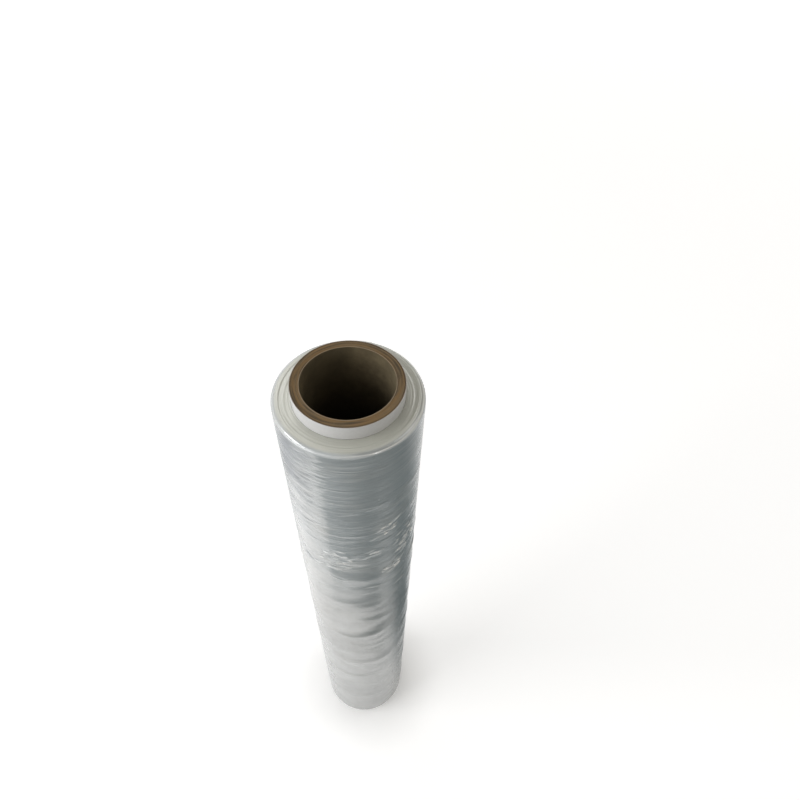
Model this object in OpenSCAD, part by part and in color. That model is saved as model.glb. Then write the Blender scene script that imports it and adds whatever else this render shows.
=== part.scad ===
// A roll of hand stretch film: clear film wound on a spiral-wound paper core
// that stands out of the film at both ends. The roll stands on one end of its
// core, with its axis along Z and the centre of that end at the origin.

/* [Core] */
// Diameter of the bore through the core
core_bore_d = 50.8; // [30:0.1:80]
// Thickness of one ply of brown board
ply_t = 0.6; // [0.4:0.05:1]
// Number of plies of brown board
ply_n = 8; // [4:1:14]
// Thickness of the white ply on the outside of the core
face_ply_t = 0.4; // [0.2:0.05:1]
// Length of core that stands out of the film at each end
core_stub = 9; // [3:0.5:60]
// Depth of the line between two plies at the cut ends
ply_line_depth = 0.25; // [0.1:0.05:0.5]
// Width of the line between two plies at the cut ends
ply_line_w = 0.14; // [0.06:0.02:0.3]

/* [Film] */
// Width of the film, which is the length of the wound body
film_w = 500; // [200:5:900]
// Depth of film wound on the core
film_build = 10.8; // [8:0.1:60]
// Radius of the rounded shoulder at each end of the film
shoulder_r = 2.6; // [1:0.1:5]
// Width of one coil of turns on the ends of the film
coil_w = 0.65; // [0.5:0.05:2]
// Most that one coil stands back from the flat end
coil_wander = 0.3; // [0:0.02:0.6]

/* [Body] */
// Share of the film's width, from its lower end, where the outer turn is slack
slack_part = 0.72; // [0.3:0.01:0.9]
// Width of one band of taut film in the upper part
taut_band_w = 1.7; // [1.2:0.1:6]
// Most that a taut band lies below the body's full radius
taut_band_h = 0.16; // [0:0.02:0.4]
// Width of one band of slack film in the lower part
slack_band_w = 9; // [6:0.5:20]
// Most that a slack band lies below the body's full radius
slack_band_h = 0.34; // [0:0.02:0.6]

/* [Folds] */
// Number of long soft folds in the slack part
fold_n = 24; // [4:1:30]
// Length of the longest fold, measured round the roll
fold_len = 118; // [40:1:160]
// Width of the widest fold at its foot
fold_w = 26; // [10:0.5:34]
// Height of the tallest fold above the body
fold_h = 0.5; // [0.2:0.05:1.2]
// Number of short sharp creases where taut film turns slack
crease_n = 20; // [4:1:30]
// Length of the longest crease, measured round the roll
crease_len = 28; // [10:1:50]
// Width of the widest crease at its foot
crease_w = 4.4; // [2:0.1:6]
// Height of the tallest crease above the body
crease_h = 0.6; // [0.3:0.05:1.2]

/* [Free end] */
// Angle at which the film's free end lies, at the back of the roll
tail_angle = 68; // [20:1:160]
// Height of the free end's lifted edge above the body
tail_lift = 0.5; // [0.2:0.05:1]
// Distance round the roll over which the free end lifts
tail_reach = 16; // [8:0.5:30]
// Wander of the free edge to each side of a straight line
tail_wander = 1.6; // [0:0.1:4]

/* [Hidden] */
$fn = 96;

bore_r = core_bore_d / 2;
board_r = bore_r + ply_n * ply_t;
core_r = board_r + face_ply_t;
film_r = core_r + film_build;
core_len = film_w + 2 * core_stub;
film_low = core_stub;
film_high = core_stub + film_w;
body_low = film_low + shoulder_r;
body_high = film_high - shoulder_r;
slack_high = film_low + slack_part * film_w;

golden_turn = 137.508;
golden_part = 0.618034;
// How far below the body's full radius the folds and the free end are rooted.
root = 1.1;
// Depth at which a welt comes out of the film, just below the lowest slack band.
sink = slack_band_h + 0.06;
// Most that a welt turns round the roll between two of its rings.
welt_turn = 8;
tail_stations = 24;
shoulder_steps = 5;

function fraction(x) = x - floor(x);
// A number from 0 to 1 for item i of the pattern k, without an even beat.
function scatter(i, k) = fraction((i + 1) * (i + 5) * golden_part * (k + 0.5));
function reversed(list) = [for (i = [len(list) - 1:-1:0]) list[i]];
function on_roll(r, angle, z) = [r * cos(angle), r * sin(angle), z];
// Turns a distance round the film into an angle.
function arc_angle(distance) = distance / film_r * 180 / PI;

// A closed skin over rings of points, all with the same number of points.
module skin(rings) {
    m = len(rings[0]);
    last = len(rings) - 1;
    sides = [
        for (i = [0:last - 1], j = [0:m - 1])
            let (k = (j + 1) % m)
                each [
                    [i * m + j, (i + 1) * m + k, i * m + k],
                    [i * m + j, (i + 1) * m + j, (i + 1) * m + k]
                ]
    ];
    foot = [[for (j = [0:m - 1]) j]];
    head = [[for (j = [m - 1:-1:0]) last * m + j]];
    polyhedron([for (ring = rings) each ring], concat(foot, sides, head), convexity = 6);
}

// Fine V-shaped lines between the plies on one cut end. Z is the end's height,
// and way is 1 where the cut face looks up and -1 where it looks down.
function ply_lines(z, way) = [
    for (i = [1:ply_n - 1])
        let (r = bore_r + i * ply_t)
            each [
                [r - ply_line_w / 2, z],
                [r, z - way * ply_line_depth],
                [r + ply_line_w / 2, z]
            ]
];

module core_board() {
    color("#7d6a50")
        rotate_extrude()
            polygon(concat(
                [[bore_r, 0]],
                ply_lines(0, -1),
                [[board_r, 0], [board_r, core_len]],
                reversed(ply_lines(core_len, 1)),
                [[bore_r, core_len]]
            ));
}

module core_face_ply() {
    color("#dcdde2")
        difference() {
            cylinder(r = core_r, h = core_len);
            translate([0, 0, -1])
                cylinder(r = board_r, h = core_len + 2);
        }
}

// One end of the film, from the core outwards: coils of turns that stand a
// little higher or lower than each other, as they left the winder.
function coils(z, way) =
    let (n = floor((film_build - shoulder_r) / coil_w))
        [
            for (i = [1:n - 1])
                let (back = coil_wander * scatter(i, way + 2))
                    each [
                        [core_r + (i + 0.15) * coil_w, z - way * back],
                        [core_r + (i + 0.85) * coil_w, z - way * back]
                    ]
        ];

// The rounded shoulder, from the end face to the body.
function shoulder(z, way) = [
    for (i = [0:shoulder_steps])
        let (a = 90 * i / shoulder_steps)
            [
                film_r - shoulder_r + shoulder_r * sin(a),
                z - way * shoulder_r * (1 - cos(a))
            ]
];

// Bands of the body between two heights, each at a slightly different radius,
// because the film comes off the winder a little thicker in some places.
function bands(low, high, w, depth) =
    let (n = floor((high - low) / w))
        [
            for (i = [1:n - 1])
                [film_r - depth * scatter(i, 6), low + (high - low) * i / n]
        ];

module wound_film() {
    rotate_extrude()
        polygon(concat(
            [[core_r, film_high], [core_r, film_low]],
            coils(film_low, -1),
            shoulder(film_low, -1),
            bands(body_low, slack_high, slack_band_w, slack_band_h),
            bands(slack_high, body_high, taut_band_w, taut_band_h),
            reversed(shoulder(film_high, 1)),
            reversed(coils(film_high, 1))
        ));
}

// A welt that runs round the roll. It comes softly out of the film, swells to
// its crest and dies out again at both ends. Lengths are in millimetres.
module welt(angle, z, length, width, height, climb, sag) {
    reach = arc_angle(length) / 2;
    stations = max(6, ceil(2 * reach / welt_turn));
    skin([
        for (s = [0:stations])
            let (
                t = s / stations,
                swell = pow(sin(180 * (0.01 + 0.98 * t)), 0.75),
                a = angle + reach * (2 * t - 1),
                mid = z + climb * (t - 0.5) - sag * sin(180 * t),
                w = width / 2 * (0.4 + 0.6 * swell),
                foot = film_r - sink,
                crest = (height + sink) * swell
            )
                [
                    on_roll(film_r - root, a, mid),
                    on_roll(foot, a, mid + w),
                    on_roll(foot + crest * 0.5, a, mid + w * 0.54),
                    on_roll(foot + crest, a, mid),
                    on_roll(foot + crest * 0.5, a, mid - w * 0.54),
                    on_roll(foot, a, mid - w)
                ]
    ]);
}

// One family of n welts, spread round the roll and over the heights from low to
// high without an even beat.
module welts(n, start, low, high, length, width, height, climb, sag) {
    for (i = [0:n - 1])
        welt(
            angle = start + i * golden_turn,
            z = low + (high - low) * (i + scatter(i, 1)) / n,
            length = length * (0.5 + 0.5 * scatter(i, 2)),
            width = width * (0.6 + 0.4 * scatter(i, 3)),
            height = height * (0.6 + 0.4 * scatter(i, 4)),
            climb = climb * (scatter(i, 5) - 0.5),
            sag = sag * scatter(i, 7)
        );
}

// Long soft folds, over the whole slack part.
module folds() {
    welts(
        n = fold_n,
        start = 0,
        low = body_low + fold_w,
        high = slack_high,
        length = fold_len,
        width = fold_w,
        height = fold_h,
        climb = fold_w,
        sag = fold_w * 0.3
    );
}

// Short sharp creases, where taut film turns slack.
module creases() {
    welts(
        n = crease_n,
        start = 40,
        low = slack_high - crease_len * 1.5,
        high = slack_high + crease_len * 0.5,
        length = crease_len,
        width = crease_w,
        height = crease_h,
        climb = crease_len * 0.8,
        sag = 0
    );
}

// The free end of the film: a lifted edge that runs the length of the roll at
// its back, with a slight wander, and lies down on the turn below it.
module free_end() {
    skin([
        for (s = [0:tail_stations])
            let (
                t = s / tail_stations,
                z = body_low + (body_high - body_low) * t,
                wander = tail_wander * (0.7 * sin(720 * t) + 0.3 * sin(1980 * t + 40)),
                edge = tail_angle + arc_angle(wander),
                lift = tail_lift * (0.75 + 0.25 * sin(1260 * t))
            )
                [
                    on_roll(film_r - root, edge, z),
                    on_roll(film_r + lift, edge, z),
                    on_roll(film_r + lift * 0.6, edge + arc_angle(tail_reach) * 0.35, z),
                    on_roll(film_r - root, edge + arc_angle(tail_reach), z)
                ]
    ]);
}

module film_roll() {
    color("#d4d8d4")
        union() {
            wound_film();
            folds();
            creases();
            free_end();
        }
}

core_board();
core_face_ply();
film_roll();
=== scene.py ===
"""Dresses a roll of hand stretch film that stands on one end of its core.

The roll's solids carry its sizes. This script gives the wound film, the white
face ply and the brown core board their finished surfaces, and sets the roll in
a plain pale studio. Lengths are in millimetres until a mesh is written, which
is in metres.
"""
import logging
import math
from dataclasses import dataclass, fields
from enum import Enum
from functools import reduce
from typing import Any, Sequence, Union

import bpy
from mathutils import Matrix, Vector


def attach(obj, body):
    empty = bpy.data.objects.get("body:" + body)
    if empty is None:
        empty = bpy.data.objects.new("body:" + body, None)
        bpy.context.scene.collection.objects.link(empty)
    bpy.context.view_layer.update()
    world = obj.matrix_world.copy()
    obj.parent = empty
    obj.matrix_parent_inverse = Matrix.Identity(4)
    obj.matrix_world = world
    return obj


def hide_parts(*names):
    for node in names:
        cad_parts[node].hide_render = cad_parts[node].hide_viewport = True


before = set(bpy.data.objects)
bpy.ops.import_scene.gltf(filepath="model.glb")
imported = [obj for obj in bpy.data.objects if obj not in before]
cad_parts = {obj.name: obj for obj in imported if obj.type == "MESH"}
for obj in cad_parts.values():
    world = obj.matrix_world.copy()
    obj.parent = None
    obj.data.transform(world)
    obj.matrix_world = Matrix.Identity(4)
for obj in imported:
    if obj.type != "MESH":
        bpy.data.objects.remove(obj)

LOG = logging.getLogger("stretch_wrap_roll")
MM = 0.001
BODY = "root"
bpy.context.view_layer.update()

# Radius, in millimetres, at which a pattern has the length round the roll that it is given.
PATTERN_R = 41.0
# How far one step of a seed moves a noise along its three axes.
SEED_STEP = (7.3, 3.1, 11.7)
# Length of a pattern that stays the same all along the roll, in millimetres.
STEADY = 1e6
# A part of one and a part of a turn that spread items without an even beat.
GOLDEN_PART = 0.618034
GOLDEN_TURN = 0.381967

Operand = Union["Field", float, int]
Rows = list[tuple[float, float]]
Points = Sequence[Sequence[float]]
Faces = Sequence[Sequence[int]]
Colour = tuple[float, float, float]
Tree = bpy.types.NodeTree
Socket = bpy.types.NodeSocket


class Solid(Enum):
    """The roll's solids that keep their shape and are given a finish."""

    BOARD = "core_board"
    FACE_PLY = "core_face_ply"


class End(Enum):
    """The two ends of the roll, each with the way its cut face looks."""

    LOWER = -1
    UPPER = 1


@dataclass(frozen=True)
class RollSizes:
    """The roll's own sizes, in millimetres, as its solids have them.

    Args:
        bore_r: Radius of the bore.
        ply_t: Thickness of one ply of brown board.
        ply_n: Number of plies of brown board.
        face_ply_t: Thickness of the white ply on the outside of the core.
        core_stub: Length of core that stands out of the film at each end.
        film_w: Width of the film, which is the length of the wound body.
        film_build: Depth of film wound on the core.
        shoulder_r: Radius of the film's rounded shoulders.
        slack_part: Share of the film's width, from its lower end, that is slack.
    """

    bore_r: float = 25.4
    ply_t: float = 0.6
    ply_n: int = 8
    face_ply_t: float = 0.4
    core_stub: float = 9.0
    film_w: float = 500.0
    film_build: float = 10.8
    shoulder_r: float = 2.6
    slack_part: float = 0.72

    @property
    def board_r(self) -> float:
        """Outside radius of the brown board."""
        return self.bore_r + self.ply_t * self.ply_n

    @property
    def core_r(self) -> float:
        """Outside radius of the core, over the white ply."""
        return self.board_r + self.face_ply_t

    @property
    def core_len(self) -> float:
        """Length of the core."""
        return self.film_w + 2.0 * self.core_stub

    @property
    def film_r(self) -> float:
        """Full radius of the wound film."""
        return self.core_r + self.film_build

    @property
    def film_low(self) -> float:
        """Height of the film's lower end."""
        return self.core_stub

    @property
    def film_high(self) -> float:
        """Height of the film's upper end."""
        return self.core_stub + self.film_w

    @property
    def slack_high(self) -> float:
        """Height at which slack film turns taut."""
        return self.film_low + self.slack_part * self.film_w

    def film_end(self, end: End) -> float:
        """Returns the height of one end of the film."""
        return self.film_high if end is End.UPPER else self.film_low


class Field:
    """A number in a node tree that takes Python's signs for its arithmetic."""

    def __init__(self, tree: Tree, socket: Socket) -> None:
        """Keeps the tree and the output socket that carries the number.

        Args:
            tree: The node tree that the number lives in.
            socket: The output socket that gives it.
        """
        self.tree = tree
        self.socket = socket

    def math(self, operation: str, *others: Operand) -> "Field":
        """Adds one Math node that starts from this number.

        Args:
            operation: The Math node's operation.
            others: Its other inputs, in order.

        Returns:
            The node's result.
        """
        node = self.tree.nodes.new("ShaderNodeMath")
        node.operation = operation
        for socket, value in zip(node.inputs, (self, *others)):
            feed(self.tree, socket, value)
        return Field(self.tree, node.outputs[0])

    def __add__(self, other: Operand) -> "Field":
        """Returns the sum."""
        return self.math("ADD", other)

    def __radd__(self, other: Operand) -> "Field":
        """Returns the sum."""
        return self.math("ADD", other)

    def __sub__(self, other: Operand) -> "Field":
        """Returns the difference."""
        return self.math("SUBTRACT", other)

    def __rsub__(self, other: Operand) -> "Field":
        """Returns the difference, taken from a plain number."""
        return self.math("MULTIPLY", -1.0).math("ADD", other)

    def __mul__(self, other: Operand) -> "Field":
        """Returns the product."""
        return self.math("MULTIPLY", other)

    def __rmul__(self, other: Operand) -> "Field":
        """Returns the product."""
        return self.math("MULTIPLY", other)

    def __truediv__(self, other: Operand) -> "Field":
        """Returns the quotient."""
        return self.math("DIVIDE", other)

    def held(self) -> "Field":
        """Returns the number, held between 0 and 1."""
        return self.math("MINIMUM", 1.0).math("MAXIMUM", 0.0)

    def most(self, *others: Operand) -> "Field":
        """Returns the largest of this number and the others."""
        return reduce(lambda largest, other: largest.math("MAXIMUM", other), others, self)

    def ease(self, low: Operand, high: Operand) -> "Field":
        """Eases from 0 to 1.

        Args:
            low: Where the result is still 0.
            high: Where the result has come to 1.

        Returns:
            The eased number.
        """
        node = self.tree.nodes.new("ShaderNodeMapRange")
        node.interpolation_type = "SMOOTHSTEP"
        for name, value in (("Value", self), ("From Min", low), ("From Max", high)):
            feed(self.tree, node.inputs[name], value)
        return Field(self.tree, node.outputs["Result"])

    def fade(self, low: Operand, high: Operand) -> "Field":
        """Fades from 1 at low to 0 at high."""
        return 1.0 - self.ease(low, high)

    def band(self, low: float, full: float, end: float, gone: float) -> "Field":
        """Eases from 0 at low to 1 at full, and from 1 at end back to 0 at gone."""
        return self.ease(low, full) * self.fade(end, gone)

    def wave(self, laps: float, lead: float = 0.0) -> "Field":
        """Returns a sine that runs its laps, from its lead on, as the number goes from 0 to 1."""
        return (self * (2.0 * math.pi * laps) + 2.0 * math.pi * lead).math("SINE")

    def scatter(self, pattern: float) -> "Field":
        """Returns a number from 0 to 1 for item self of a pattern, without a beat."""
        return ((self + 1.0) * (self + 5.0) * (GOLDEN_PART * (pattern + 0.5))).math("FRACT")


def feed(tree: Tree, socket: Socket, value: Any) -> None:
    """Links a field to an input socket, or sets the socket to a plain value.

    Args:
        tree: The node tree of the socket.
        socket: The input socket.
        value: A Field, an output socket or a plain value.
    """
    if isinstance(value, Field):
        tree.links.new(value.socket, socket)
    elif isinstance(value, bpy.types.NodeSocket):
        tree.links.new(value, socket)
    elif socket.type == "RGBA":
        socket.default_value = (*value, 1.0)
    else:
        socket.default_value = value


def vector(tree: Tree, x: Operand, y: Operand, z: Operand) -> Socket:
    """Joins three numbers into a vector.

    Args:
        tree: The node tree.
        x: First number.
        y: Second number.
        z: Third number.

    Returns:
        The vector's output socket.
    """
    node = tree.nodes.new("ShaderNodeCombineXYZ")
    for socket, value in zip(node.inputs, (x, y, z)):
        feed(tree, socket, value)
    return node.outputs[0]


def parts(tree: Tree, joined: Socket) -> list[Field]:
    """Splits a vector into its three numbers.

    Args:
        tree: The node tree.
        joined: The output socket that gives the vector.

    Returns:
        The three numbers.
    """
    node = tree.nodes.new("ShaderNodeSeparateXYZ")
    tree.links.new(joined, node.inputs[0])
    return [Field(tree, socket) for socket in node.outputs]


def blend(tree: Tree, share: Operand, first: Any, second: Any) -> Socket:
    """Mixes two colours.

    Args:
        tree: The node tree.
        share: Share of the second colour.
        first: The first colour, as three numbers or a socket.
        second: The second colour, as three numbers or a socket.

    Returns:
        The mixed colour's output socket.
    """
    node = tree.nodes.new("ShaderNodeMix")
    node.data_type = "RGBA"
    for name, value in (("Factor", share), ("A", first), ("B", second)):
        feed(tree, node.inputs[name], value)
    return node.outputs["Result"]


def shade(colour: Colour, level: float) -> Colour:
    """Returns a colour made lighter or darker by a level."""
    return (colour[0] * level, colour[1] * level, colour[2] * level)


@dataclass(frozen=True)
class Surface:
    """A point of the roll in cylinder terms, inside a node tree, in millimetres.

    Args:
        tree: The node tree.
        x: Cosine of the angle round the roll.
        y: Sine of the angle round the roll.
        angle: The angle round the roll, in radians.
        radius: Distance from the axis.
        height: Height above the standing end.
    """

    tree: Tree
    x: Field
    y: Field
    angle: Field
    radius: Field
    height: Field

    @classmethod
    def of(cls, tree: Tree, position: Socket) -> "Surface":
        """Reads a position in metres as a point of the roll.

        Args:
            tree: The node tree.
            position: The output socket that gives the position.

        Returns:
            The point.
        """
        x, y, z = parts(tree, position)
        radius = (x * x + y * y).math("SQRT")
        return cls(
            tree=tree,
            x=x / radius,
            y=y / radius,
            angle=y.math("ARCTAN2", x),
            radius=radius * (1.0 / MM),
            height=z * (1.0 / MM),
        )

    def turn_from(self, middle: Operand) -> Field:
        """Returns the shorter way round the roll from an angle to this point.

        Args:
            middle: The angle, in radians.

        Returns:
            The turn, in radians, from half a turn back to half a turn on.
        """
        lap = 2.0 * math.pi
        turn = self.angle - middle
        return turn - ((turn + math.pi) / lap).math("FLOOR") * lap

    def noise(
        self,
        around: float,
        along: float,
        seed: float,
        detail: float = 2.0,
        roughness: float = 0.5,
        across: float = 0.0,
        bend: Operand = 0.0,
    ) -> Field:
        """Returns noise from 0 to 1 that closes round the roll without a seam.

        Args:
            around: Length of the noise round the roll, in millimetres.
            along: Length of the noise along the roll, in millimetres.
            seed: Where in the noise to start.
            detail: Number of finer octaves.
            roughness: Strength of the finer octaves.
            across: Change with distance from the axis, per millimetre.
            bend: Millimetres to add to the height, which bends the pattern.

        Returns:
            The noise.
        """
        reach = PATTERN_R / around
        shift = [seed * step for step in SEED_STEP]
        level = (self.height + bend) * (1.0 / along) + shift[2] + self.radius * across
        node = self.tree.nodes.new("ShaderNodeTexNoise")
        node.inputs["Scale"].default_value = 1.0
        node.inputs["Detail"].default_value = detail
        node.inputs["Roughness"].default_value = roughness
        place = vector(self.tree, self.x * reach + shift[0], self.y * reach + shift[1], level)
        self.tree.links.new(place, node.inputs["Vector"])
        return Field(self.tree, node.outputs["Fac"])

    def helix(self, pitch: float) -> Field:
        """Returns 0 to 1 over each lap of a strip that is wound round the core.

        Args:
            pitch: Rise of the strip in one turn, in millimetres.

        Returns:
            The part of the lap.
        """
        laps = self.height * (1.0 / abs(pitch)) + self.angle * math.copysign(0.5 / math.pi, pitch)
        above_zero = 50.0
        return (laps + above_zero).math("FRACT")


def mesh_object(name: str, vertices: Points, faces: Faces) -> bpy.types.Object:
    """Makes a mesh object at the origin.

    Args:
        name: The object's name.
        vertices: Corner places, in metres.
        faces: Corner numbers of each face, turning left as seen from outside.

    Returns:
        The object, linked to the scene.
    """
    mesh = bpy.data.meshes.new(name)
    mesh.from_pydata(vertices, [], faces)
    mesh.update()
    made = bpy.data.objects.new(name, mesh)
    bpy.context.scene.collection.objects.link(made)
    return made


def revolved(name: str, rows: Rows, turns: Sequence[float]) -> bpy.types.Object:
    """Turns a closed profile round the axis into a closed ring of faces.

    Args:
        name: The object's name.
        rows: The profile as radius and height in millimetres, going from the
            lower inner corner outwards, up the outside and back inwards.
        turns: The angles of the columns, in radians, in rising order.

    Returns:
        The object.
    """
    columns = len(turns)
    spokes = [(math.cos(a) * MM, math.sin(a) * MM) for a in turns]
    vertices = [(r * c, r * s, z * MM) for r, z in rows for c, s in spokes]
    faces = []
    for i in range(len(rows)):
        here = i * columns
        above = (i + 1) % len(rows) * columns
        for k in range(columns):
            following = (k + 1) % columns
            faces.append((here + k, here + following, above + following, above + k))
    return mesh_object(name, vertices, faces)


class Ruled:
    """A Geometry Nodes tree that shapes one piece of the roll by a rule."""

    def __init__(self, name: str) -> None:
        """Starts the tree with a geometry socket at each side.

        Args:
            name: The tree's name.
        """
        self.tree = bpy.data.node_groups.new(name, "GeometryNodeTree")
        for side in ("INPUT", "OUTPUT"):
            self.tree.interface.new_socket("Geometry", in_out=side, socket_type="NodeSocketGeometry")
        self.source = self.tree.nodes.new("NodeGroupInput")
        self.shape = self.source.outputs["Geometry"]
        self.values: dict[str, Any] = {}
        position = self.tree.nodes.new("GeometryNodeInputPosition")
        self.surface = Surface.of(self.tree, position.outputs[0])

    def given(self, name: str, kind: str, value: Any) -> Socket:
        """Adds a named input to the tree.

        Args:
            name: The input's name.
            kind: The type of its socket.
            value: The value that the modifier is given.

        Returns:
            The output socket that gives the value inside the tree.
        """
        socket = self.tree.interface.new_socket(name, in_out="INPUT", socket_type=kind)
        self.values[socket.identifier] = value
        return self.source.outputs[name]

    def size(self, name: str, value: float) -> Field:
        """Adds a named number to the tree's inputs."""
        return Field(self.tree, self.given(name, "NodeSocketFloat", float(value)))

    def through(self, kind: str, **inputs: Any) -> None:
        """Passes the shape through one more node.

        Args:
            kind: The node's type.
            inputs: Its other inputs, by name.
        """
        node = self.tree.nodes.new(kind)
        self.tree.links.new(self.shape, node.inputs["Geometry"])
        for name, value in inputs.items():
            feed(self.tree, node.inputs[name], value)
        self.shape = node.outputs["Geometry"]

    def keep(self, name: str, value: Field) -> Field:
        """Keeps a number on the mesh's points.

        Args:
            name: The number's name on the mesh.
            value: The number.

        Returns:
            The number, read back from the points.
        """
        self.through("GeometryNodeStoreNamedAttribute", Name=name, Value=value)
        read = self.tree.nodes.new("GeometryNodeInputNamedAttribute")
        read.inputs["Name"].default_value = name
        return Field(self.tree, read.outputs["Attribute"])

    def lay(self, group: Tree, name: str, pattern: "WeltPattern", under: Field) -> Field:
        """Lays one family of welts over a surface.

        Args:
            group: The node group that lays a family.
            name: The family's name on the mesh.
            pattern: The family.
            under: The surface that it is laid on, as millimetres from the full radius.

        Returns:
            The surface with the welts on it.
        """
        node = self.tree.nodes.new("GeometryNodeGroup")
        node.node_tree = group
        feed(self.tree, node.inputs["Surface"], under)
        for item in fields(pattern):
            feed(self.tree, node.inputs[item.name], float(getattr(pattern, item.name)))
        return self.keep(name, Field(self.tree, node.outputs["Surface"]))

    def finish(
        self,
        piece: bpy.types.Object,
        offset: Socket,
        material: bpy.types.Material,
    ) -> bpy.types.Object:
        """Ends the tree, runs it on a piece and turns the result into a plain mesh.

        Args:
            piece: The piece to shape.
            offset: The output socket that gives each point's move, in metres.
            material: The material of every face.

        Returns:
            The shaped piece.
        """
        dress_with = self.given("Finish", "NodeSocketMaterial", material)
        self.through("GeometryNodeSetPosition", Offset=offset)
        self.through("GeometryNodeSetShadeSmooth")
        self.through("GeometryNodeRealizeInstances")
        self.through("GeometryNodeSetMaterial", Material=dress_with)
        sink = self.tree.nodes.new("NodeGroupOutput")
        self.tree.links.new(self.shape, sink.inputs["Geometry"])

        modifier = piece.modifiers.new("Shape", "NODES")
        modifier.node_group = self.tree
        for identifier, value in self.values.items():
            modifier[identifier] = value
        graph = bpy.context.evaluated_depsgraph_get()
        shaped = bpy.data.meshes.new_from_object(piece.evaluated_get(graph), depsgraph=graph)
        piece.modifiers.remove(modifier)
        plain = piece.data
        piece.data = shaped
        bpy.data.meshes.remove(plain)
        shaped.name = piece.name
        return piece


@dataclass(frozen=True)
class WeltPattern:
    """One family of welts that the slack film makes, with sizes in millimetres.

    Args:
        count: Number of welts.
        start: Angle of the first one, in degrees.
        length: Length of the longest, round the roll.
        width: Width of the widest at its foot.
        height: Height of the tallest above the body.
        low: Height of the zone's lower end.
        high: Height of the zone's upper end.
        climb: Most that a welt climbs between its two ends.
        blend: How softly it runs out into the film.
        sag: Most that a welt's middle hangs below its ends.
        spread: Part of the turn that the family covers, in degrees.
    """

    count: int
    start: float
    length: float
    width: float
    height: float
    low: float
    high: float
    climb: float
    blend: float
    sag: float = 0.0
    spread: float = 360.0


@dataclass(frozen=True)
class Scuff:
    """A spot where the film was rubbed into many small bright nicks.

    Args:
        turn: Angle of its middle round the roll, in degrees.
        height: Height of its middle, in millimetres.
        wide: Width round the roll, in millimetres.
        tall: Height of the spot, in millimetres.
        count: Number of nicks.
    """

    turn: float
    height: float
    wide: float
    tall: float
    count: int

    def share(self, here: Surface, film_r: float) -> Field:
        """Tells how rubbed the film is at a point.

        Args:
            here: The point.
            film_r: Full radius of the wound film, in millimetres.

        Returns:
            One in the spot's middle, falling to zero at its rim.
        """
        aside = here.turn_from(math.radians(self.turn)) * (2.0 * film_r / self.wide)
        above = (here.height - self.height) * (2.0 / self.tall)
        return (1.0 - aside * aside - above * above).most(0.0)

    def nicks(self, film_r: float) -> WeltPattern:
        """Gives the spot's nicks as one family of welts.

        Args:
            film_r: Full radius of the wound film, in millimetres.

        Returns:
            The family.
        """
        spread = math.degrees(self.wide / film_r)
        return WeltPattern(
            count=self.count,
            start=self.turn - spread / 2.0,
            length=12.0,
            width=4.4,
            height=0.5,
            low=self.height - self.tall / 2.0,
            high=self.height + self.tall / 2.0,
            climb=9.0,
            blend=0.04,
            spread=spread,
        )


def welt_family(film_r: float, sink: float) -> Tree:
    """Makes the node group that lays one family of welts, with a repeat zone.

    Args:
        film_r: Full radius of the wound film, in millimetres.
        sink: How far a welt's foot lies below the full radius.

    Returns:
        The group, with one input for each of a family's numbers.
    """
    tree = bpy.data.node_groups.new("Welt family", "GeometryNodeTree")
    for name in ("Surface", *(item.name for item in fields(WeltPattern))):
        tree.interface.new_socket(name, in_out="INPUT", socket_type="NodeSocketFloat")
    tree.interface.new_socket("Surface", in_out="OUTPUT", socket_type="NodeSocketFloat")
    source = tree.nodes.new("NodeGroupInput")
    take = {socket.name: Field(tree, socket) for socket in source.outputs if socket.name}
    here = Surface.of(tree, tree.nodes.new("GeometryNodeInputPosition").outputs[0])
    start = tree.nodes.new("GeometryNodeRepeatInput")
    stop = tree.nodes.new("GeometryNodeRepeatOutput")
    start.pair_with_output(stop)
    stop.repeat_items.new("FLOAT", "Surface")
    feed(tree, start.inputs["Iterations"], take["count"])
    feed(tree, start.inputs["Surface"], take["Surface"])
    item = Field(tree, start.outputs["Iteration"])

    # Each welt's own sizes and place, drawn from its number without a beat.
    middle = ((item * GOLDEN_TURN).math("FRACT") * take["spread"] + take["start"]) * math.radians(1.0)
    place = (item + item.scatter(1)) / take["count"] * (take["high"] - take["low"]) + take["low"]
    reach = take["length"] * (item.scatter(2) * 0.5 + 0.5) * (0.5 / film_r)
    half_width = take["width"] * (item.scatter(3) * 0.4 + 0.6) * 0.5
    crest = take["height"] * (item.scatter(4) * 0.4 + 0.6) + sink
    climb = (item.scatter(5) - 0.5) * take["climb"]
    sag = item.scatter(7) * take["sag"]

    # A dome over the welt's line, which falls away outside its foot and ends.
    part = here.turn_from(middle) / reach
    t = (part * 0.5 + 0.5).held()
    arch = t.wave(0.5).most(0.0)
    swell = arch.math("POWER", 0.75)
    line = place + climb * (t - 0.5) - arch * sag
    across = (here.height - line) / (half_width * (swell * 0.6 + 0.4))
    dome = (1.0 - across * across).most(0.0)
    outside = (across * across).most(part * part, 1.0) - 1.0
    steepness = 3.0
    lift = crest * swell * dome * dome - sink - outside * steepness
    joined = Field(tree, start.outputs["Surface"]).math("SMOOTH_MAX", lift, take["blend"])
    feed(tree, stop.inputs["Surface"], joined)
    result = tree.nodes.new("NodeGroupOutput")
    feed(tree, result.inputs["Surface"], stop.outputs["Surface"])
    return tree


@dataclass(frozen=True)
class FreeEnd:
    """The film's free end, which lies along the back of the roll.

    Args:
        angle: Where its edge lies, in degrees.
        lift: Height of its lifted edge, in millimetres.
        reach: Distance round the roll over which it lifts.
        wander: Wander of the edge to each side of a straight line.
        offsets: Places of the mesh's columns from the edge.
    """

    angle: float = 68.0
    lift: float = 0.5
    reach: float = 16.0
    wander: float = 1.6
    offsets: tuple[float, ...] = (
        -8.0, -6.2, -4.6, -3.1, -1.6, -0.03, 0.03, 1.4, 2.8, 4.3, 6.1, 8.0,
    )


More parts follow.
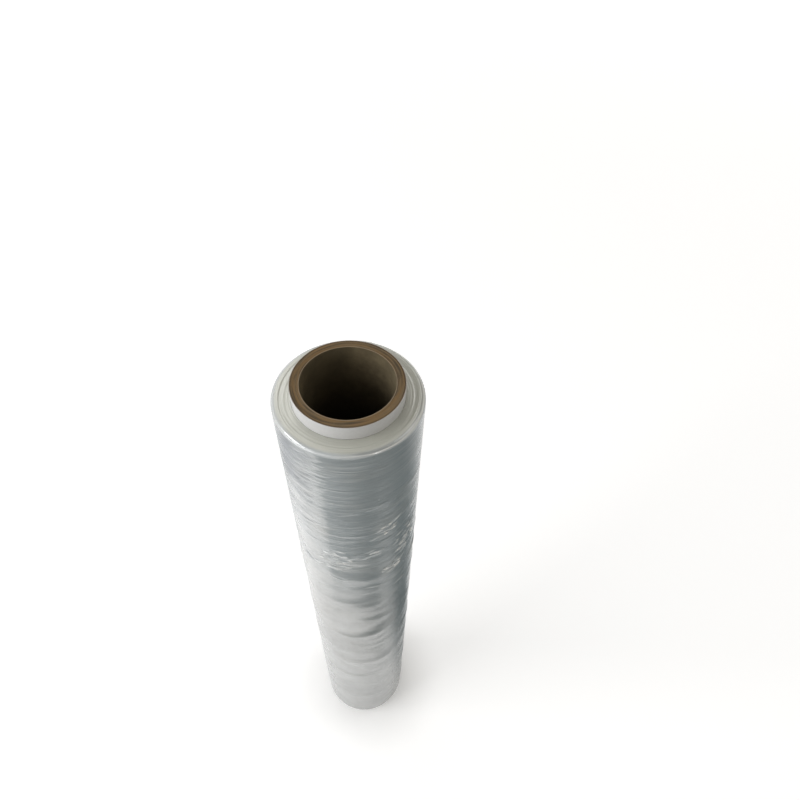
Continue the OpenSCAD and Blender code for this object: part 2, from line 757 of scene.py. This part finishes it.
@dataclass(frozen=True)
class WoundFilm:
    """The wound film: all its turns as one closed piece.

    Args:
        sizes: The roll's sizes.
        columns: Steps of the mesh round the roll.
        end_steps: Rows of the mesh over one end.
        shoulder_steps: Rows of the mesh over one shoulder.
        slack_step: Distance between rows where the film is slack.
        taut_step: Distance between rows where the film is taut.
        sink: How far a welt's foot lies below the full radius.
        taut_h: Height of the bands where the film is taut.
        slack_h: Height of the bands where the film is slack.
        coil_h: Height of the coils on the ends.
        seed: Where in the noise the film starts.
        tail: The film's free end.
        scuffs: The spots with the smallest creases, which catch the light.
    """

    sizes: RollSizes
    columns: int = 150
    end_steps: int = 22
    shoulder_steps: int = 10
    slack_step: float = 1.18
    taut_step: float = 0.70
    sink: float = 0.4
    taut_h: float = 0.42
    slack_h: float = 0.90
    coil_h: float = 0.28
    seed: float = 4.0
    tail: FreeEnd = FreeEnd()
    # Turn, height, width, tallness and number of nicks of each.
    scuffs: tuple[Scuff, ...] = (
        Scuff(-64.0, 425.0, 16.0, 14.0, 6),
        Scuff(-43.0, 394.0, 20.0, 34.0, 13),
        Scuff(-58.0, 368.0, 18.0, 12.0, 8),
        Scuff(-74.0, 400.0, 12.0, 10.0, 4),
        Scuff(-112.0, 390.0, 26.0, 30.0, 8),
    )

    def folds(self) -> WeltPattern:
        """Gives the long soft folds, over the whole slack part.

        Returns:
            The family.
        """
        s = self.sizes
        width = 26.0
        return WeltPattern(
            count=24,
            start=0.0,
            length=118.0,
            width=width,
            height=0.42,
            low=s.film_low + s.shoulder_r + width,
            high=s.slack_high,
            climb=width,
            sag=width * 0.3,
            blend=0.8,
        )

    def drapes(self) -> WeltPattern:
        """Gives the long slanting creases, just above where the film turns taut.

        Returns:
            The family.
        """
        length = 62.0
        low = self.sizes.slack_high + 3.0
        return WeltPattern(
            count=13,
            start=205.0,
            length=length,
            width=9.0,
            height=0.16,
            low=low,
            high=low + 90.0,
            climb=length + 22.0,
            blend=0.3,
        )

    def creases(self) -> WeltPattern:
        """Gives the short sharp creases, where the film turns taut.

        Returns:
            The family.
        """
        length = 28.0
        return WeltPattern(
            count=20,
            start=40.0,
            length=length,
            width=4.4,
            height=0.6,
            low=self.sizes.slack_high - length * 1.5,
            high=self.sizes.slack_high + length * 0.5,
            climb=length * 0.8,
            blend=0.15,
        )

    def turns(self) -> list[float]:
        """Gives the angles of the mesh's columns, closer beside the free end.

        Returns:
            The angles, in radians, in rising order.
        """
        edge = math.radians(self.tail.angle)
        near = [edge + d / self.sizes.film_r for d in self.tail.offsets]
        step = 2.0 * math.pi / self.columns
        even = [step * k for k in range(self.columns)]
        return sorted(near + [a for a in even if not near[0] - step / 2 < a < near[-1] + step / 2])

    def end_rows(self, end: End) -> Rows:
        """Gives the profile of one end, from the core outwards.

        Args:
            end: Which end.

        Returns:
            Radius and height of each row.
        """
        s = self.sizes
        step = (s.film_r - s.shoulder_r - s.core_r) / self.end_steps
        return [(s.core_r + step * i, s.film_end(end)) for i in range(self.end_steps)]

    def shoulder_rows(self, end: End) -> Rows:
        """Gives the profile of one shoulder, from the end face to the body.

        Args:
            end: Which end.

        Returns:
            Radius and height of each row.
        """
        s = self.sizes
        rows = []
        for i in range(self.shoulder_steps + 1):
            a = math.pi / 2 * i / self.shoulder_steps
            radius = s.film_r - s.shoulder_r + s.shoulder_r * math.sin(a)
            rows.append((radius, s.film_end(end) - end.value * s.shoulder_r * (1.0 - math.cos(a))))
        return rows

    def body_rows(self) -> Rows:
        """Gives the body's profile, with closer rows where the film is taut.

        Returns:
            Radius and height of each row.
        """
        s = self.sizes
        rows = []
        z = s.film_low + s.shoulder_r
        closer_from = s.slack_high - 60.0
        top = s.film_high - s.shoulder_r - 0.4
        while True:
            z += self.slack_step if z < closer_from else self.taut_step
            if z >= top:
                return rows
            rows.append((s.film_r, z))

    def profile(self) -> Rows:
        """Gives the closed profile of the wound film.

        Returns:
            Radius and height of each row.
        """
        lower = self.end_rows(End.LOWER) + self.shoulder_rows(End.LOWER)
        upper = self.end_rows(End.UPPER) + self.shoulder_rows(End.UPPER)
        return lower + self.body_rows() + upper[::-1]

    def bands(self, rule: Ruled) -> Field:
        """Gives the body its bands, which are fine where taut and soft where slack.

        Args:
            rule: The tree.

        Returns:
            The surface, as millimetres from the full radius.
        """
        here, seed = rule.surface, self.seed
        slack_high = rule.size("Slack height", self.sizes.slack_high)
        taut_h = rule.size("Taut band height", self.taut_h)
        slack_h = rule.size("Slack band height", self.slack_h)

        # The line where taut film turns slack wanders up and down.
        wander = (here.noise(60.0, 200.0, seed) - 0.5) * 60.0
        slack = (here.height + wander).fade(slack_high - 35.0, slack_high + 45.0)
        patch = here.noise(50.0, 26.0, seed + 7).ease(0.35, 0.65) * 0.7 + 0.3
        taut = here.noise(36.0, 3.0, seed + 1, detail=1.0) - 0.5
        taut = taut + (here.noise(12.0, 3.2, seed + 2, detail=1.0) - 0.5) * 0.6
        bend = (here.noise(34.0, 70.0, seed + 3) - 0.5) * 26.0
        soft = here.noise(44.0, 27.0, seed + 4, detail=1.0, bend=bend) - 0.5
        soft = soft + (here.noise(26.0, 12.0, seed + 5, detail=0.0, bend=bend) - 0.5) * 0.3
        line = here.noise(60.0, 34.0, seed + 8, detail=1.0, bend=bend) * 2.0 - 1.0
        line = (1.0 - line.math("ABSOLUTE")).math("POWER", 4.0)
        line = line * here.noise(30.0, 30.0, seed + 9).ease(0.4, 0.6)
        surface = taut * taut_h * patch * (1.06 - slack) - 0.1
        surface = surface + soft * slack_h * (slack * 0.88 + 0.12)
        return surface + line * 0.07 * slack * here.height.ease(90.0, 260.0)

    def creased(self, rule: Ruled, surface: Field) -> Field:
        """Lays the folds and creases, and keeps where the film is rubbed and where it is whitened,
        partly with painted glints.

        Args:
            rule: The tree.
            surface: The surface that they are laid on, from the full radius.

        Returns:
            The surface with them on it.
        """
        film_r = self.sizes.film_r
        group = welt_family(film_r, self.sink)
        surface = rule.lay(group, "Fold", self.folds(), surface)
        folded = rule.lay(group, "Drape", self.drapes(), surface)
        surface = rule.lay(group, "Crease", self.creases(), folded)
        for k, scuff in enumerate(self.scuffs):
            surface = rule.lay(group, f"Scuff {k + 1}", scuff.nicks(film_r), surface)
        first, *others = (scuff.share(rule.surface, film_r) for scuff in self.scuffs)
        rule.keep("rubbed", first.most(*others))
        # Where a crease rises above the folds the film is whitened, partly as painted glints.
        white_rise = 0.32
        rule.keep("whitening", ((surface - folded) / white_rise).math("MINIMUM", 1.0))
        return surface

    def free_end(self, rule: Ruled) -> tuple[Field, Field]:
        """Lays the free end of the film over the body.

        Args:
            rule: The tree.

        Returns:
            How far it lifts, and how far its edge drifts round the roll, in millimetres.
        """
        s, here, tail = self.sizes, rule.surface, self.tail
        height = rule.size("Free end lift", tail.lift)
        reach = rule.size("Free end reach", tail.reach)
        wander = rule.size("Free end wander", tail.wander)
        past = here.turn_from(math.radians(tail.angle)) * s.film_r
        t = (here.height - s.film_low) / s.film_w
        drift = t.wave(2.0) * 0.7 + t.wave(5.5, lead=40.0 / 360.0) * 0.3
        near = past.math("ABSOLUTE").fade(0.0, tail.offsets[-1])
        fall = (1.0 - past / reach).held()
        lift = past.math("GREATER_THAN", 0.0) * fall * fall * height
        return lift * (t.wave(3.5) * 0.25 + 0.75), drift * wander * near

    def shape(self, piece: bpy.types.Object, material: bpy.types.Material) -> bpy.types.Object:
        """Gives the plain revolved film its bands, folds, creases and coils.

        Args:
            piece: The revolved film.
            material: The film's finish.

        Returns:
            The shaped film.
        """
        s = self.sizes
        rule = Ruled("Wound film")
        here = rule.surface
        film_r = rule.size("Film radius", s.film_r)
        shoulder = rule.size("Shoulder radius", s.shoulder_r)
        coil_h = rule.size("Coil height", self.coil_h)
        surface = self.creased(rule, self.bands(rule))
        lift, drift = self.free_end(rule)

        past_flat = here.radius - (film_r - shoulder)
        on_body = (past_flat / shoulder).held()
        outwards = (surface + lift) * on_body
        aside = drift * on_body
        # The coils stand out of the ends or back in them, each by its own height.
        coils = here.noise(90.0, STEADY, self.seed + 6, roughness=0.65, across=1.1) - 0.5
        past_core = (here.radius - s.core_r).ease(0.0, 0.8)
        way = (here.height - s.core_len / 2.0).math("SIGN")
        rise = (coils * 2.0 - 0.35) * coil_h * past_flat.fade(-0.3, 1.8) * past_core * way
        offset = vector(
            rule.tree,
            (here.x * outwards - here.y * aside) * MM,
            (here.y * outwards + here.x * aside) * MM,
            rise * MM,
        )
        return rule.finish(piece, offset, material)

    def build(self, material: bpy.types.Material) -> bpy.types.Object:
        """Builds the wound film in place of its solid.

        Args:
            material: The film's finish.

        Returns:
            The piece.
        """
        piece = revolved("wound_film", self.profile(), self.turns())
        piece = self.shape(piece, material)
        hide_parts("film_roll")
        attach(piece, BODY)
        return piece


class Finish:
    """A material that is built up in its node tree."""

    def __init__(self, name: str) -> None:
        """Starts the material with one Principled shader.

        Args:
            name: The material's name.
        """
        self.material = bpy.data.materials.new(name)
        self.material.use_nodes = True
        self.tree = self.material.node_tree
        self.shader = self.tree.nodes["Principled BSDF"]
        self.place = self.tree.nodes.new("ShaderNodeTexCoord").outputs["Object"]
        self.here = Surface.of(self.tree, self.place)

    def set(self, name: str, value: Any) -> None:
        """Sets one of the shader's inputs."""
        feed(self.tree, self.shader.inputs[name], value)

    def blend(self, share: Operand, first: Any, second: Any) -> Socket:
        """Mixes two colours, with the share of the second one given first."""
        return blend(self.tree, share, first, second)

    def grain(self, scale: float, detail: float, roughness: float) -> Field:
        """Returns plain noise from 0 to 1 in object space.

        Args:
            scale: Number of grains per metre.
            detail: Number of finer octaves.
            roughness: Strength of the finer octaves.

        Returns:
            The noise.
        """
        node = self.tree.nodes.new("ShaderNodeTexNoise")
        node.inputs["Scale"].default_value = scale
        node.inputs["Detail"].default_value = detail
        node.inputs["Roughness"].default_value = roughness
        self.tree.links.new(self.place, node.inputs["Vector"])
        return Field(self.tree, node.outputs["Fac"])

    def kept(self, name: str) -> Field:
        """Reads a number that the piece's mesh keeps on its points.

        Args:
            name: The number's name on the mesh.

        Returns:
            The number.
        """
        node = self.tree.nodes.new("ShaderNodeAttribute")
        node.attribute_name = name
        return Field(self.tree, node.outputs["Fac"])

    def facets(self, around: float, along: float) -> list[Field]:
        """Splits the surface into small cells with three random numbers each.

        Args:
            around: Length of a cell round the roll, in millimetres.
            along: Length of a cell along the roll, in millimetres.

        Returns:
            The three numbers, from 0 to 1.
        """
        here, reach = self.here, PATTERN_R / around
        node = self.tree.nodes.new("ShaderNodeTexVoronoi")
        node.inputs["Scale"].default_value = 1.0
        place = vector(self.tree, here.x * reach, here.y * reach, here.height * (1.0 / along))
        self.tree.links.new(place, node.inputs["Vector"])
        return parts(self.tree, node.outputs["Color"])

    def lean(self, aside: Field, up: Field) -> Socket:
        """Leans the normal round the roll and along it.

        Args:
            aside: Lean round the roll, as a slope.
            up: Lean along the roll, as a slope.

        Returns:
            The normal's output socket.
        """
        links, here = self.tree.links, self.here
        straight = self.tree.nodes.new("ShaderNodeNewGeometry").outputs["Normal"]
        add = self.tree.nodes.new("ShaderNodeVectorMath")
        add.operation = "ADD"
        links.new(straight, add.inputs[0])
        links.new(vector(self.tree, here.y * aside * -1.0, here.x * aside, up), add.inputs[1])
        unit = self.tree.nodes.new("ShaderNodeVectorMath")
        unit.operation = "NORMALIZE"
        links.new(add.outputs[0], unit.inputs[0])
        return unit.outputs[0]

    def bump(self, height: Field, distance: float, normal: Any = None) -> Socket:
        """Turns a height into a bumped normal.

        Args:
            height: The height, as a share of the distance.
            distance: The full height, in millimetres.
            normal: The normal to start from, where it is not the plain one.

        Returns:
            The normal's output socket.
        """
        node = self.tree.nodes.new("ShaderNodeBump")
        if normal is not None:
            self.tree.links.new(normal, node.inputs["Normal"])
        node.inputs["Strength"].default_value = 1.0
        node.inputs["Distance"].default_value = distance * MM
        feed(self.tree, node.inputs["Height"], height)
        return node.outputs["Normal"]


@dataclass(frozen=True)
class FilmFinish:
    """Many turns of clear film: glossy on the body and milky in the mass.

    Args:
        sizes: The roll's sizes.
        taut: Colour of the body where the film is taut.
        slack: Colour of the body where the film is slack.
        milky: Colour of the ends, where the turns' edges show.
        thread: Colour of the fine bright lines in the taut film, painted highlights.
        worn: Colour of the film where it is creased sharply or rubbed, partly whitened film and partly
            painted glints.
    """

    sizes: RollSizes
    taut: Colour = (0.425, 0.45, 0.455)
    slack: Colour = (0.40, 0.40, 0.385)
    milky: Colour = (0.545, 0.55, 0.49)
    thread: Colour = (0.82, 0.84, 0.84)
    worn: Colour = (0.9, 0.91, 0.9)

    def build(self) -> bpy.types.Material:
        """Builds the material.

        Returns:
            The material.
        """
        s = self.sizes
        finish = Finish("Wound stretch film")
        here = finish.here
        body = (here.radius - (s.film_r - s.shoulder_r)).ease(-0.6, 1.6)
        end = 1.0 - body
        taut = here.height.ease(s.slack_high - 90.0, s.slack_high + 30.0)
        slack = 1.0 - taut
        fine = here.noise(30.0, 1.5, 22.0, detail=3.0, roughness=0.6)
        # Fine bright lines: relief on the taut film, and painted highlights in its colour.
        thread = here.noise(60.0, 1.1, 26.0, detail=1.0).ease(0.62, 0.72)
        first, second, third = finish.facets(4.4, 1.3)
        rubbed = finish.kept("rubbed").ease(0.0, 0.4) * third.math("GREATER_THAN", 0.74)

        # Colour, layer over layer.
        cloud = here.noise(26.0, 20.0, 21.0, detail=3.0)
        streak = here.noise(40.0, 1.4, 25.0, roughness=0.6).ease(0.35, 0.65)
        # Painted light: the film is lighter over its lowest 60 mm, next to the bright floor.
        foot = here.height.fade(s.film_low, s.film_low + 60.0)
        colour = finish.blend(slack, self.taut, self.slack)
        for share, layer in (
            (cloud.ease(0.45, 0.7) * 0.6, shade(self.slack, 1.3)),
            (cloud.fade(0.3, 0.5) * slack * 0.5, shade(self.slack, 0.75)),
            # Painted light near the lower end.
            (foot * 0.6, shade(self.slack, 1.25)),
            (streak * taut * 0.26, shade(self.taut, 0.66)),
            # Painted highlights along the fine lines.
            (thread * taut * 0.3, self.thread),
            # Whitened creases and rubbed spots, partly worn film and partly painted glints.
            (finish.kept("whitening").most(rubbed * 0.45) * 0.7, self.worn),
            (end, self.milky),
        ):
            colour = finish.blend(share, colour, layer)
        finish.set("Base Color", colour)
        finish.set("Subsurface Weight", 0.4)
        finish.set("Subsurface Radius", (1.0, 1.0, 0.95))
        finish.set("Subsurface Scale", 0.004)
        finish.set("Roughness", end * 0.06 + slack * 0.1 + fine * (1.0 - slack * 0.7) * 0.18 + 0.09)
        finish.set("IOR", 1.55)
        finish.set("Specular IOR Level", 1.0)
        finish.set("Metallic", 0.1)
        finish.set("Coat Weight", 0.7)
        finish.set("Coat IOR", 1.6)
        finish.set("Coat Roughness", 0.08)

        # Relief of the fine lines on taut film and of the coils on the ends.
        lines = fine * 0.6 + here.noise(14.0, 1.1, 23.0, detail=1.0) * 0.5 + thread * 0.35
        coils = here.noise(200.0, STEADY, 24.0, roughness=0.6, across=2.2)
        height = lines * body * taut + coils * end * 0.32

        # Slopes that are too small for the mesh: loose turns, soft ripples and rubbed spots.
        loose = here.noise(60.0, 26.0, 51.0).ease(0.36, 0.62) * taut * body
        ripple = (here.noise(34.0, 15.0, 54.0, detail=1.0) - 0.5) * slack * here.height.ease(60.0, 230.0)
        up = (here.noise(36.0, 2.4, 52.0, roughness=0.6) - 0.5) * loose * 0.66
        up = up + (first * 0.8 + 0.3) * rubbed + ripple * 0.32
        aside = (here.noise(22.0, 2.0, 53.0, detail=1.0) - 0.5) * loose * 0.4
        aside = aside + (second - 0.5) * rubbed * 0.8
        normal = finish.bump(height, 0.16, normal=finish.lean(aside, up))
        finish.set("Normal", normal)
        finish.set("Coat Normal", normal)
        return finish.material


@dataclass(frozen=True)
class KraftFinish:
    """Brown kraft board, wound in plies.

    Args:
        sizes: The roll's sizes.
        face: Colour of the cut plies.
        warm: Colour of the warmer spots of the cut plies.
        dark: Colour of the darker spots of the cut plies.
        rim: Colour of the cut plies just inside the white ply.
        inner: Colour of the innermost ply's edge.
        bore: Colour of the bore's wall.
        stain: Colour of the dull spots of the bore's wall.
        deep: Colour of the painted shade on the bore's wall, where little light comes.
    """

    sizes: RollSizes
    face: Colour = (0.165, 0.118, 0.066)
    warm: Colour = (0.27, 0.165, 0.07)
    dark: Colour = (0.085, 0.066, 0.042)
    rim: Colour = (0.055, 0.042, 0.028)
    inner: Colour = (0.42, 0.34, 0.25)
    bore: Colour = (0.15, 0.118, 0.068)
    stain: Colour = (0.085, 0.072, 0.042)
    deep: Colour = (0.02, 0.014, 0.008)

    def build(self) -> bpy.types.Material:
        """Builds the material.

        Returns:
            The material.
        """
        s = self.sizes
        finish = Finish("Kraft core board")
        here = finish.here
        fibre = finish.grain(900.0, detail=4.0, roughness=0.65)
        cloud = finish.grain(120.0, detail=3.0, roughness=0.6)
        seam = here.helix(95.0).band(0.0, 0.006, 0.010, 0.022)

        # The cut plies.
        rings = here.noise(50.0, 60.0, 31.0, detail=1.0, across=1.0).ease(0.3, 0.7)
        patch = here.noise(26.0, 60.0, 33.0, across=0.8)
        rim = (here.radius - s.board_r).ease(-0.9, -0.1)
        face = finish.blend(rings, shade(self.face, 0.56), shade(self.face, 1.35))
        face = finish.blend(fibre.ease(0.35, 0.75) * 0.3, face, shade(self.face, 1.5))
        face = finish.blend(patch.ease(0.42, 0.62) * 0.6, face, self.warm)
        face = finish.blend(patch.fade(0.3, 0.46) * 0.75, face, self.dark)
        face = finish.blend(rim * 0.75, face, self.rim)

        # The bore's wall, with painted shade that darkens it with its depth from the upper end.
        stain = here.noise(70.0, 60.0, 38.0, detail=1.0).ease(0.4, 0.6)
        # Painted shade: the wall darkens over the first 60 mm down from the upper end.
        deep = (s.core_len - here.height).ease(0.0, 60.0)
        wall = finish.blend(cloud.ease(0.3, 0.7), shade(self.bore, 0.8), shade(self.bore, 1.2))
        wall = finish.blend(seam * 0.6, wall, shade(self.bore, 0.45))
        wall = finish.blend(stain * 0.5, wall, self.stain)
        wall = finish.blend(deep * 0.9, wall, self.deep)

        depth = here.radius - s.bore_r
        on_face = depth.ease(0.02, 0.12)
        colour = finish.blend(on_face, wall, face)
        colour = finish.blend(depth.band(0.0, 0.25, 0.3, 0.6) * on_face * 0.6, colour, self.inner)
        finish.set("Base Color", colour)
        finish.set("Roughness", fibre * 0.2 + 0.72)
        finish.set("Specular IOR Level", 0.3)
        finish.set("Normal", finish.bump(fibre * 0.5 + cloud * 0.3 - seam * 0.5, 0.12))
        return finish.material


@dataclass(frozen=True)
class FacePlyFinish:
    """Smooth white paper on the outside of the core.

    Args:
        sizes: The roll's sizes.
        white: Colour of the paper.
        cut: Colour of the paper's cut edge.
    """

    sizes: RollSizes
    white: Colour = (0.67, 0.67, 0.67)
    cut: Colour = (0.22, 0.16, 0.11)

    def build(self) -> bpy.types.Material:
        """Builds the material.

        Returns:
            The material.
        """
        finish = Finish("White face ply")
        here = finish.here
        fibre = finish.grain(700.0, detail=4.0, roughness=0.6)
        seam = here.helix(-80.0).band(0.0, 0.004, 0.007, 0.016)
        inside = (here.radius - self.sizes.core_r).fade(-0.16, -0.06)
        white = finish.blend(fibre.ease(0.35, 0.7) * 0.5, self.white, shade(self.white, 0.93))
        white = finish.blend(seam * 0.35, white, self.cut)
        finish.set("Base Color", finish.blend(inside, white, self.cut))
        finish.set("Roughness", fibre * 0.15 + 0.5)
        finish.set("Specular IOR Level", 0.4)
        finish.set("Normal", finish.bump(fibre * 0.5 + (1.0 - seam) * 0.5, 0.06))
        return finish.material


@dataclass(frozen=True)
class View:
    """The camera, placed as the photograph was taken.

    Args:
        place: The lens's place, in metres.
        turn: The camera's axes as rows of a rotation matrix.
        focal_px: Focal length in pixels of the photograph's frame.
        centre_px: Pixel that the lens's axis meets.
        frame_px: Width and height of the photograph's frame, in pixels.
    """

    place: tuple[float, float, float] = (-0.00303, -0.20917, 0.74981)
    turn: tuple[tuple[float, ...], ...] = (
        (0.99390, 0.07063, -0.08464),
        (-0.10827, 0.77013, -0.62863),
        (0.02078, 0.63396, 0.77309),
    )
    focal_px: float = 599.34
    centre_px: tuple[float, float] = (394.95, 409.28)
    frame_px: float = 800.0

    def build(self) -> bpy.types.Object:
        """Makes the camera and gives it to the scene.

        Returns:
            The camera.
        """
        data = bpy.data.cameras.new("View")
        data.sensor_width = 36.0
        data.lens = self.focal_px * data.sensor_width / self.frame_px
        half = self.frame_px / 2.0
        data.shift_x = (half - self.centre_px[0]) / self.frame_px
        data.shift_y = (self.centre_px[1] - half) / self.frame_px
        data.clip_start = 0.01
        camera = bpy.data.objects.new("View", data)
        turn = Matrix(self.turn).to_quaternion().to_matrix().to_4x4()
        camera.matrix_world = Matrix.Translation(self.place) @ turn
        bpy.context.scene.collection.objects.link(camera)
        bpy.context.scene.camera = camera
        return camera


@dataclass(frozen=True)
class SoftLamp:
    """One large soft lamp.

    Args:
        name: The lamp's name.
        place: Where it hangs, in metres.
        aim: The point that it faces.
        size: Its two sides, in metres.
        level: What a white card that faces it would read.
    """

    name: str
    place: tuple[float, float, float]
    aim: tuple[float, float, float]
    size: tuple[float, float]
    level: float

    def build(self) -> bpy.types.Object:
        """Makes the lamp.

        Returns:
            The lamp.
        """
        data = bpy.data.lights.new(self.name, "AREA")
        data.shape = "RECTANGLE"
        data.size, data.size_y = self.size
        away = Vector(self.place) - Vector(self.aim)
        # Power that lights a white card at the aim to the level, over this distance.
        data.energy = self.level * math.pi * away.length_squared * math.pi
        lamp = bpy.data.objects.new(self.name, data)
        lamp.location = self.place
        lamp.rotation_euler = away.to_track_quat("Z", "Y").to_euler()
        bpy.context.scene.collection.objects.link(lamp)
        return lamp


@dataclass(frozen=True)
class Studio:
    """A plain pale studio with a window on the left and a dim side on the right.

    Args:
        far: Radius of the floor, in metres.
        dim: Level of the light from the dim side.
        bright: Level of the light from the window's side.
        plain: Colour of the light from the window's side and of the floor's own.
        warm: Colour of the light from the dim side.
        lift: How much the floor adds where it is seen, so that it reads white.
        white: Colour of the floor.
        grey: Colour of the painted shade on the ground that the gloss shows in front.
        dusk: Colour of the painted dark ring that the gloss shows at the left.
        lamps: The soft lamps.
    """

    far: float = 6.0
    dim: float = 0.22
    bright: float = 0.80
    plain: Colour = (1.0, 1.0, 1.0)
    warm: Colour = (1.0, 0.95, 0.84)
    lift: float = 0.45
    white: Colour = (0.86, 0.86, 0.86)
    grey: Colour = (0.20, 0.265, 0.295)
    dusk: Colour = (0.10, 0.12, 0.20)
    # Name, place, aim, two sides and level of each.
    lamps: tuple[SoftLamp, ...] = (
        SoftLamp("Window", (-2.6, -0.5, 1.6), (0.0, 0.0, 0.3), (1.8, 1.6), 0.48),
        SoftLamp("Skylight", (1.6, 0.3, 2.6), (0.0, 0.0, 0.3), (1.2, 1.2), 0.09),
        SoftLamp("Ceiling", (-0.7, 2.2, 2.9), (0.0, 0.0, 0.3), (1.0, 1.0), 0.03),
        SoftLamp("Doorway", (1.5, -2.7, 0.8), (0.0, 0.0, 0.4), (0.4, 0.4), 0.03),
    )

    @staticmethod
    def rays(tree: Tree) -> tuple[Field, Field]:
        """Tells the rays that show the background.

        Args:
            tree: The node tree.

        Returns:
            One for the camera's rays, and one for the rays in gloss or glass.
        """
        node = tree.nodes.new("ShaderNodeLightPath")
        names = ("Is Camera Ray", "Is Glossy Ray", "Is Transmission Ray")
        camera, gloss, glass = (Field(tree, node.outputs[name]) for name in names)
        return camera, gloss.most(glass)

    def ground(self, finish: Finish, colour: Any, glow: Field) -> bpy.types.Material:
        """Makes one ground that adds a little light of its own where it is seen.

        Args:
            finish: The material to build on.
            colour: The ground's colour, as three numbers or a socket.
            glow: Share of the studio's lift that it adds.

        Returns:
            The material.
        """
        camera, shiny = self.rays(finish.tree)
        finish.set("Base Color", colour)
        finish.set("Roughness", 0.8)
        finish.set("Specular IOR Level", 0.2)
        finish.set("Emission Color", self.plain)
        finish.set("Emission Strength", camera.most(shiny) * self.lift * glow)
        return finish.material

    def floor_material(self) -> bpy.types.Material:
        """Makes the floor's plain white, with painted shade that makes it a little darker just round the
        roll.

        Returns:
            The material.
        """
        finish = Finish("Studio floor")
        # Painted shade: the floor's own light is weaker within 98 mm of the axis.
        contact_shade = finish.here.radius.ease(26.0, 98.0) * 0.5 + 0.5
        distance = finish.here.radius.ease(700.0, 4000.0) * 0.5
        return self.ground(finish, self.white, contact_shade + distance)

    def surround_material(self) -> bpy.types.Material:
        """Makes the ground that the gloss shows: grey painted shade in front and at the right.

        Returns:
            The material.
        """
        finish = Finish("Studio surround")
        here = finish.here
        # Degrees round the roll: 0 in front of it, 90 at its right and -90 at its left.
        turn = here.x.math("ARCTAN2", here.y * -1.0) * math.degrees(1.0)

        # Painted shade, grey in front and at the right, with a paler wedge in it, as far as the floor is
        # lit.
        front = turn.ease(-60.0, -46.0) * 0.85 + turn.ease(-50.0, 20.0) * 0.15
        front = front * turn.fade(95.0, 165.0)
        gleam = turn.band(22.0, 48.0, 56.0, 84.0) * here.radius.fade(250.0, 330.0) * 0.35
        start = here.radius + turn.ease(-40.0, 90.0) * 130.0 - 30.0
        front = front * start.ease(80.0, 250.0) * (1.0 - gleam)
        reach = 1.0 - turn.ease(60.0, 100.0) * 0.35
        front = front * (here.radius / reach).fade(450.0, 1050.0)

        # Lighter painted shade behind the roll and just under it.
        back = turn.ease(90.0, 150.0) + turn.fade(-160.0, -110.0)
        back = back * here.radius.ease(45.0, 120.0) * 0.35
        grey = front.most(back, here.radius.fade(100.0, 190.0) * 0.2)

        # A painted dark ring at the left, in a painted pool of light on the window's side.
        left = turn.band(-165.0, -115.0, -75.0, -62.0)
        ring = left * here.radius.band(285.0, 375.0, 400.0, 520.0) * 0.8
        painted_pool = left * here.radius.band(190.0, 290.0, 520.0, 700.0) * 0.4
        colour = finish.blend(ring * 0.9, finish.blend(grey, self.white, self.grey), self.dusk)
        # Painted shade: the gloss sees the ground darker within 95 mm of the axis.
        contact_shade = here.radius.ease(20.0, 95.0) * 0.55 + 0.45
        # The ground's own glow, less under painted shade and more in the painted pool of light.
        return self.ground(finish, colour, contact_shade * (1.0 - grey) * (1.0 - ring) * (painted_pool + 1.0))

    def disc(self, name: str, height: float, material: bpy.types.Material) -> bpy.types.Object:
        """Makes a flat disc round the roll's axis.

        Args:
            name: The object's name.
            height: Height of the disc, in metres.
            material: Its material.

        Returns:
            The disc.
        """
        steps = 96
        turn = [2.0 * math.pi * k / steps for k in range(steps)]
        rim = [(self.far * math.cos(a), self.far * math.sin(a), height) for a in turn]
        made = mesh_object(name, rim, [tuple(range(steps))])
        made.data.materials.append(material)
        return made

    def world(self) -> None:
        """Makes the light from all round, and the white that the camera sees."""
        world = bpy.data.worlds.new("Studio")
        bpy.context.scene.world = world
        world.use_nodes = True
        tree = world.node_tree
        background = tree.nodes["Background"]
        # In a world, Generated gives the way that the ray looks.
        x, y, z = parts(tree, tree.nodes.new("ShaderNodeTexCoord").outputs["Generated"])
        side = (x * -0.95 + y * 0.1 + z * 0.1).ease(-0.6, 0.8)
        light = (side * (self.bright - self.dim) + self.dim) * (1.0 - z.ease(0.3, 1.0) * 0.3)
        # Gloss shows a dark part high at the right and a bright one low all round.
        gloss = 1.0 - x.ease(-0.05, 0.14) * z.ease(0.5, 0.7) * 0.7
        gloss = gloss + z.band(0.0, 0.08, 0.4, 0.55) * 0.8
        camera, shiny = self.rays(tree)
        strength = light + shiny * (gloss - light)
        feed(tree, background.inputs["Strength"], strength + camera * (1.0 - strength))
        tint = blend(tree, side.most(camera), self.warm, self.plain)
        feed(tree, background.inputs["Color"], tint)

    def build(self) -> None:
        """Makes the floor, the ground that only the gloss shows, the lamps and the world."""
        floor = self.disc("floor", 0.0, self.floor_material())
        floor.visible_glossy = False
        floor.visible_diffuse = False
        floor.visible_shadow = False
        surround = self.disc("surround", -0.002, self.surround_material())
        surround.visible_camera = False
        for lamp in self.lamps:
            lamp.build()
        self.world()


def dress(solid: Solid, material: bpy.types.Material) -> None:
    """Gives a solid its finish.

    Args:
        solid: The solid.
        material: Its finish.
    """
    made = bpy.data.objects[solid.value]
    made.data.materials.clear()
    made.data.materials.append(material)
    LOG.info("%s is dressed in %s", solid.value, material.name)


def main() -> None:
    """Builds the roll and its studio."""
    logging.basicConfig(level=logging.INFO, format="%(name)s: %(message)s")
    bpy.context.scene.view_settings.view_transform = "Standard"
    sizes = RollSizes()
    View().build()
    Studio().build()
    film = WoundFilm(sizes).build(FilmFinish(sizes).build())
    LOG.info("%s has %d faces", film.name, len(film.data.polygons))
    dress(Solid.BOARD, KraftFinish(sizes).build())
    dress(Solid.FACE_PLY, FacePlyFinish(sizes).build())


if __name__ == "__main__":
    main()
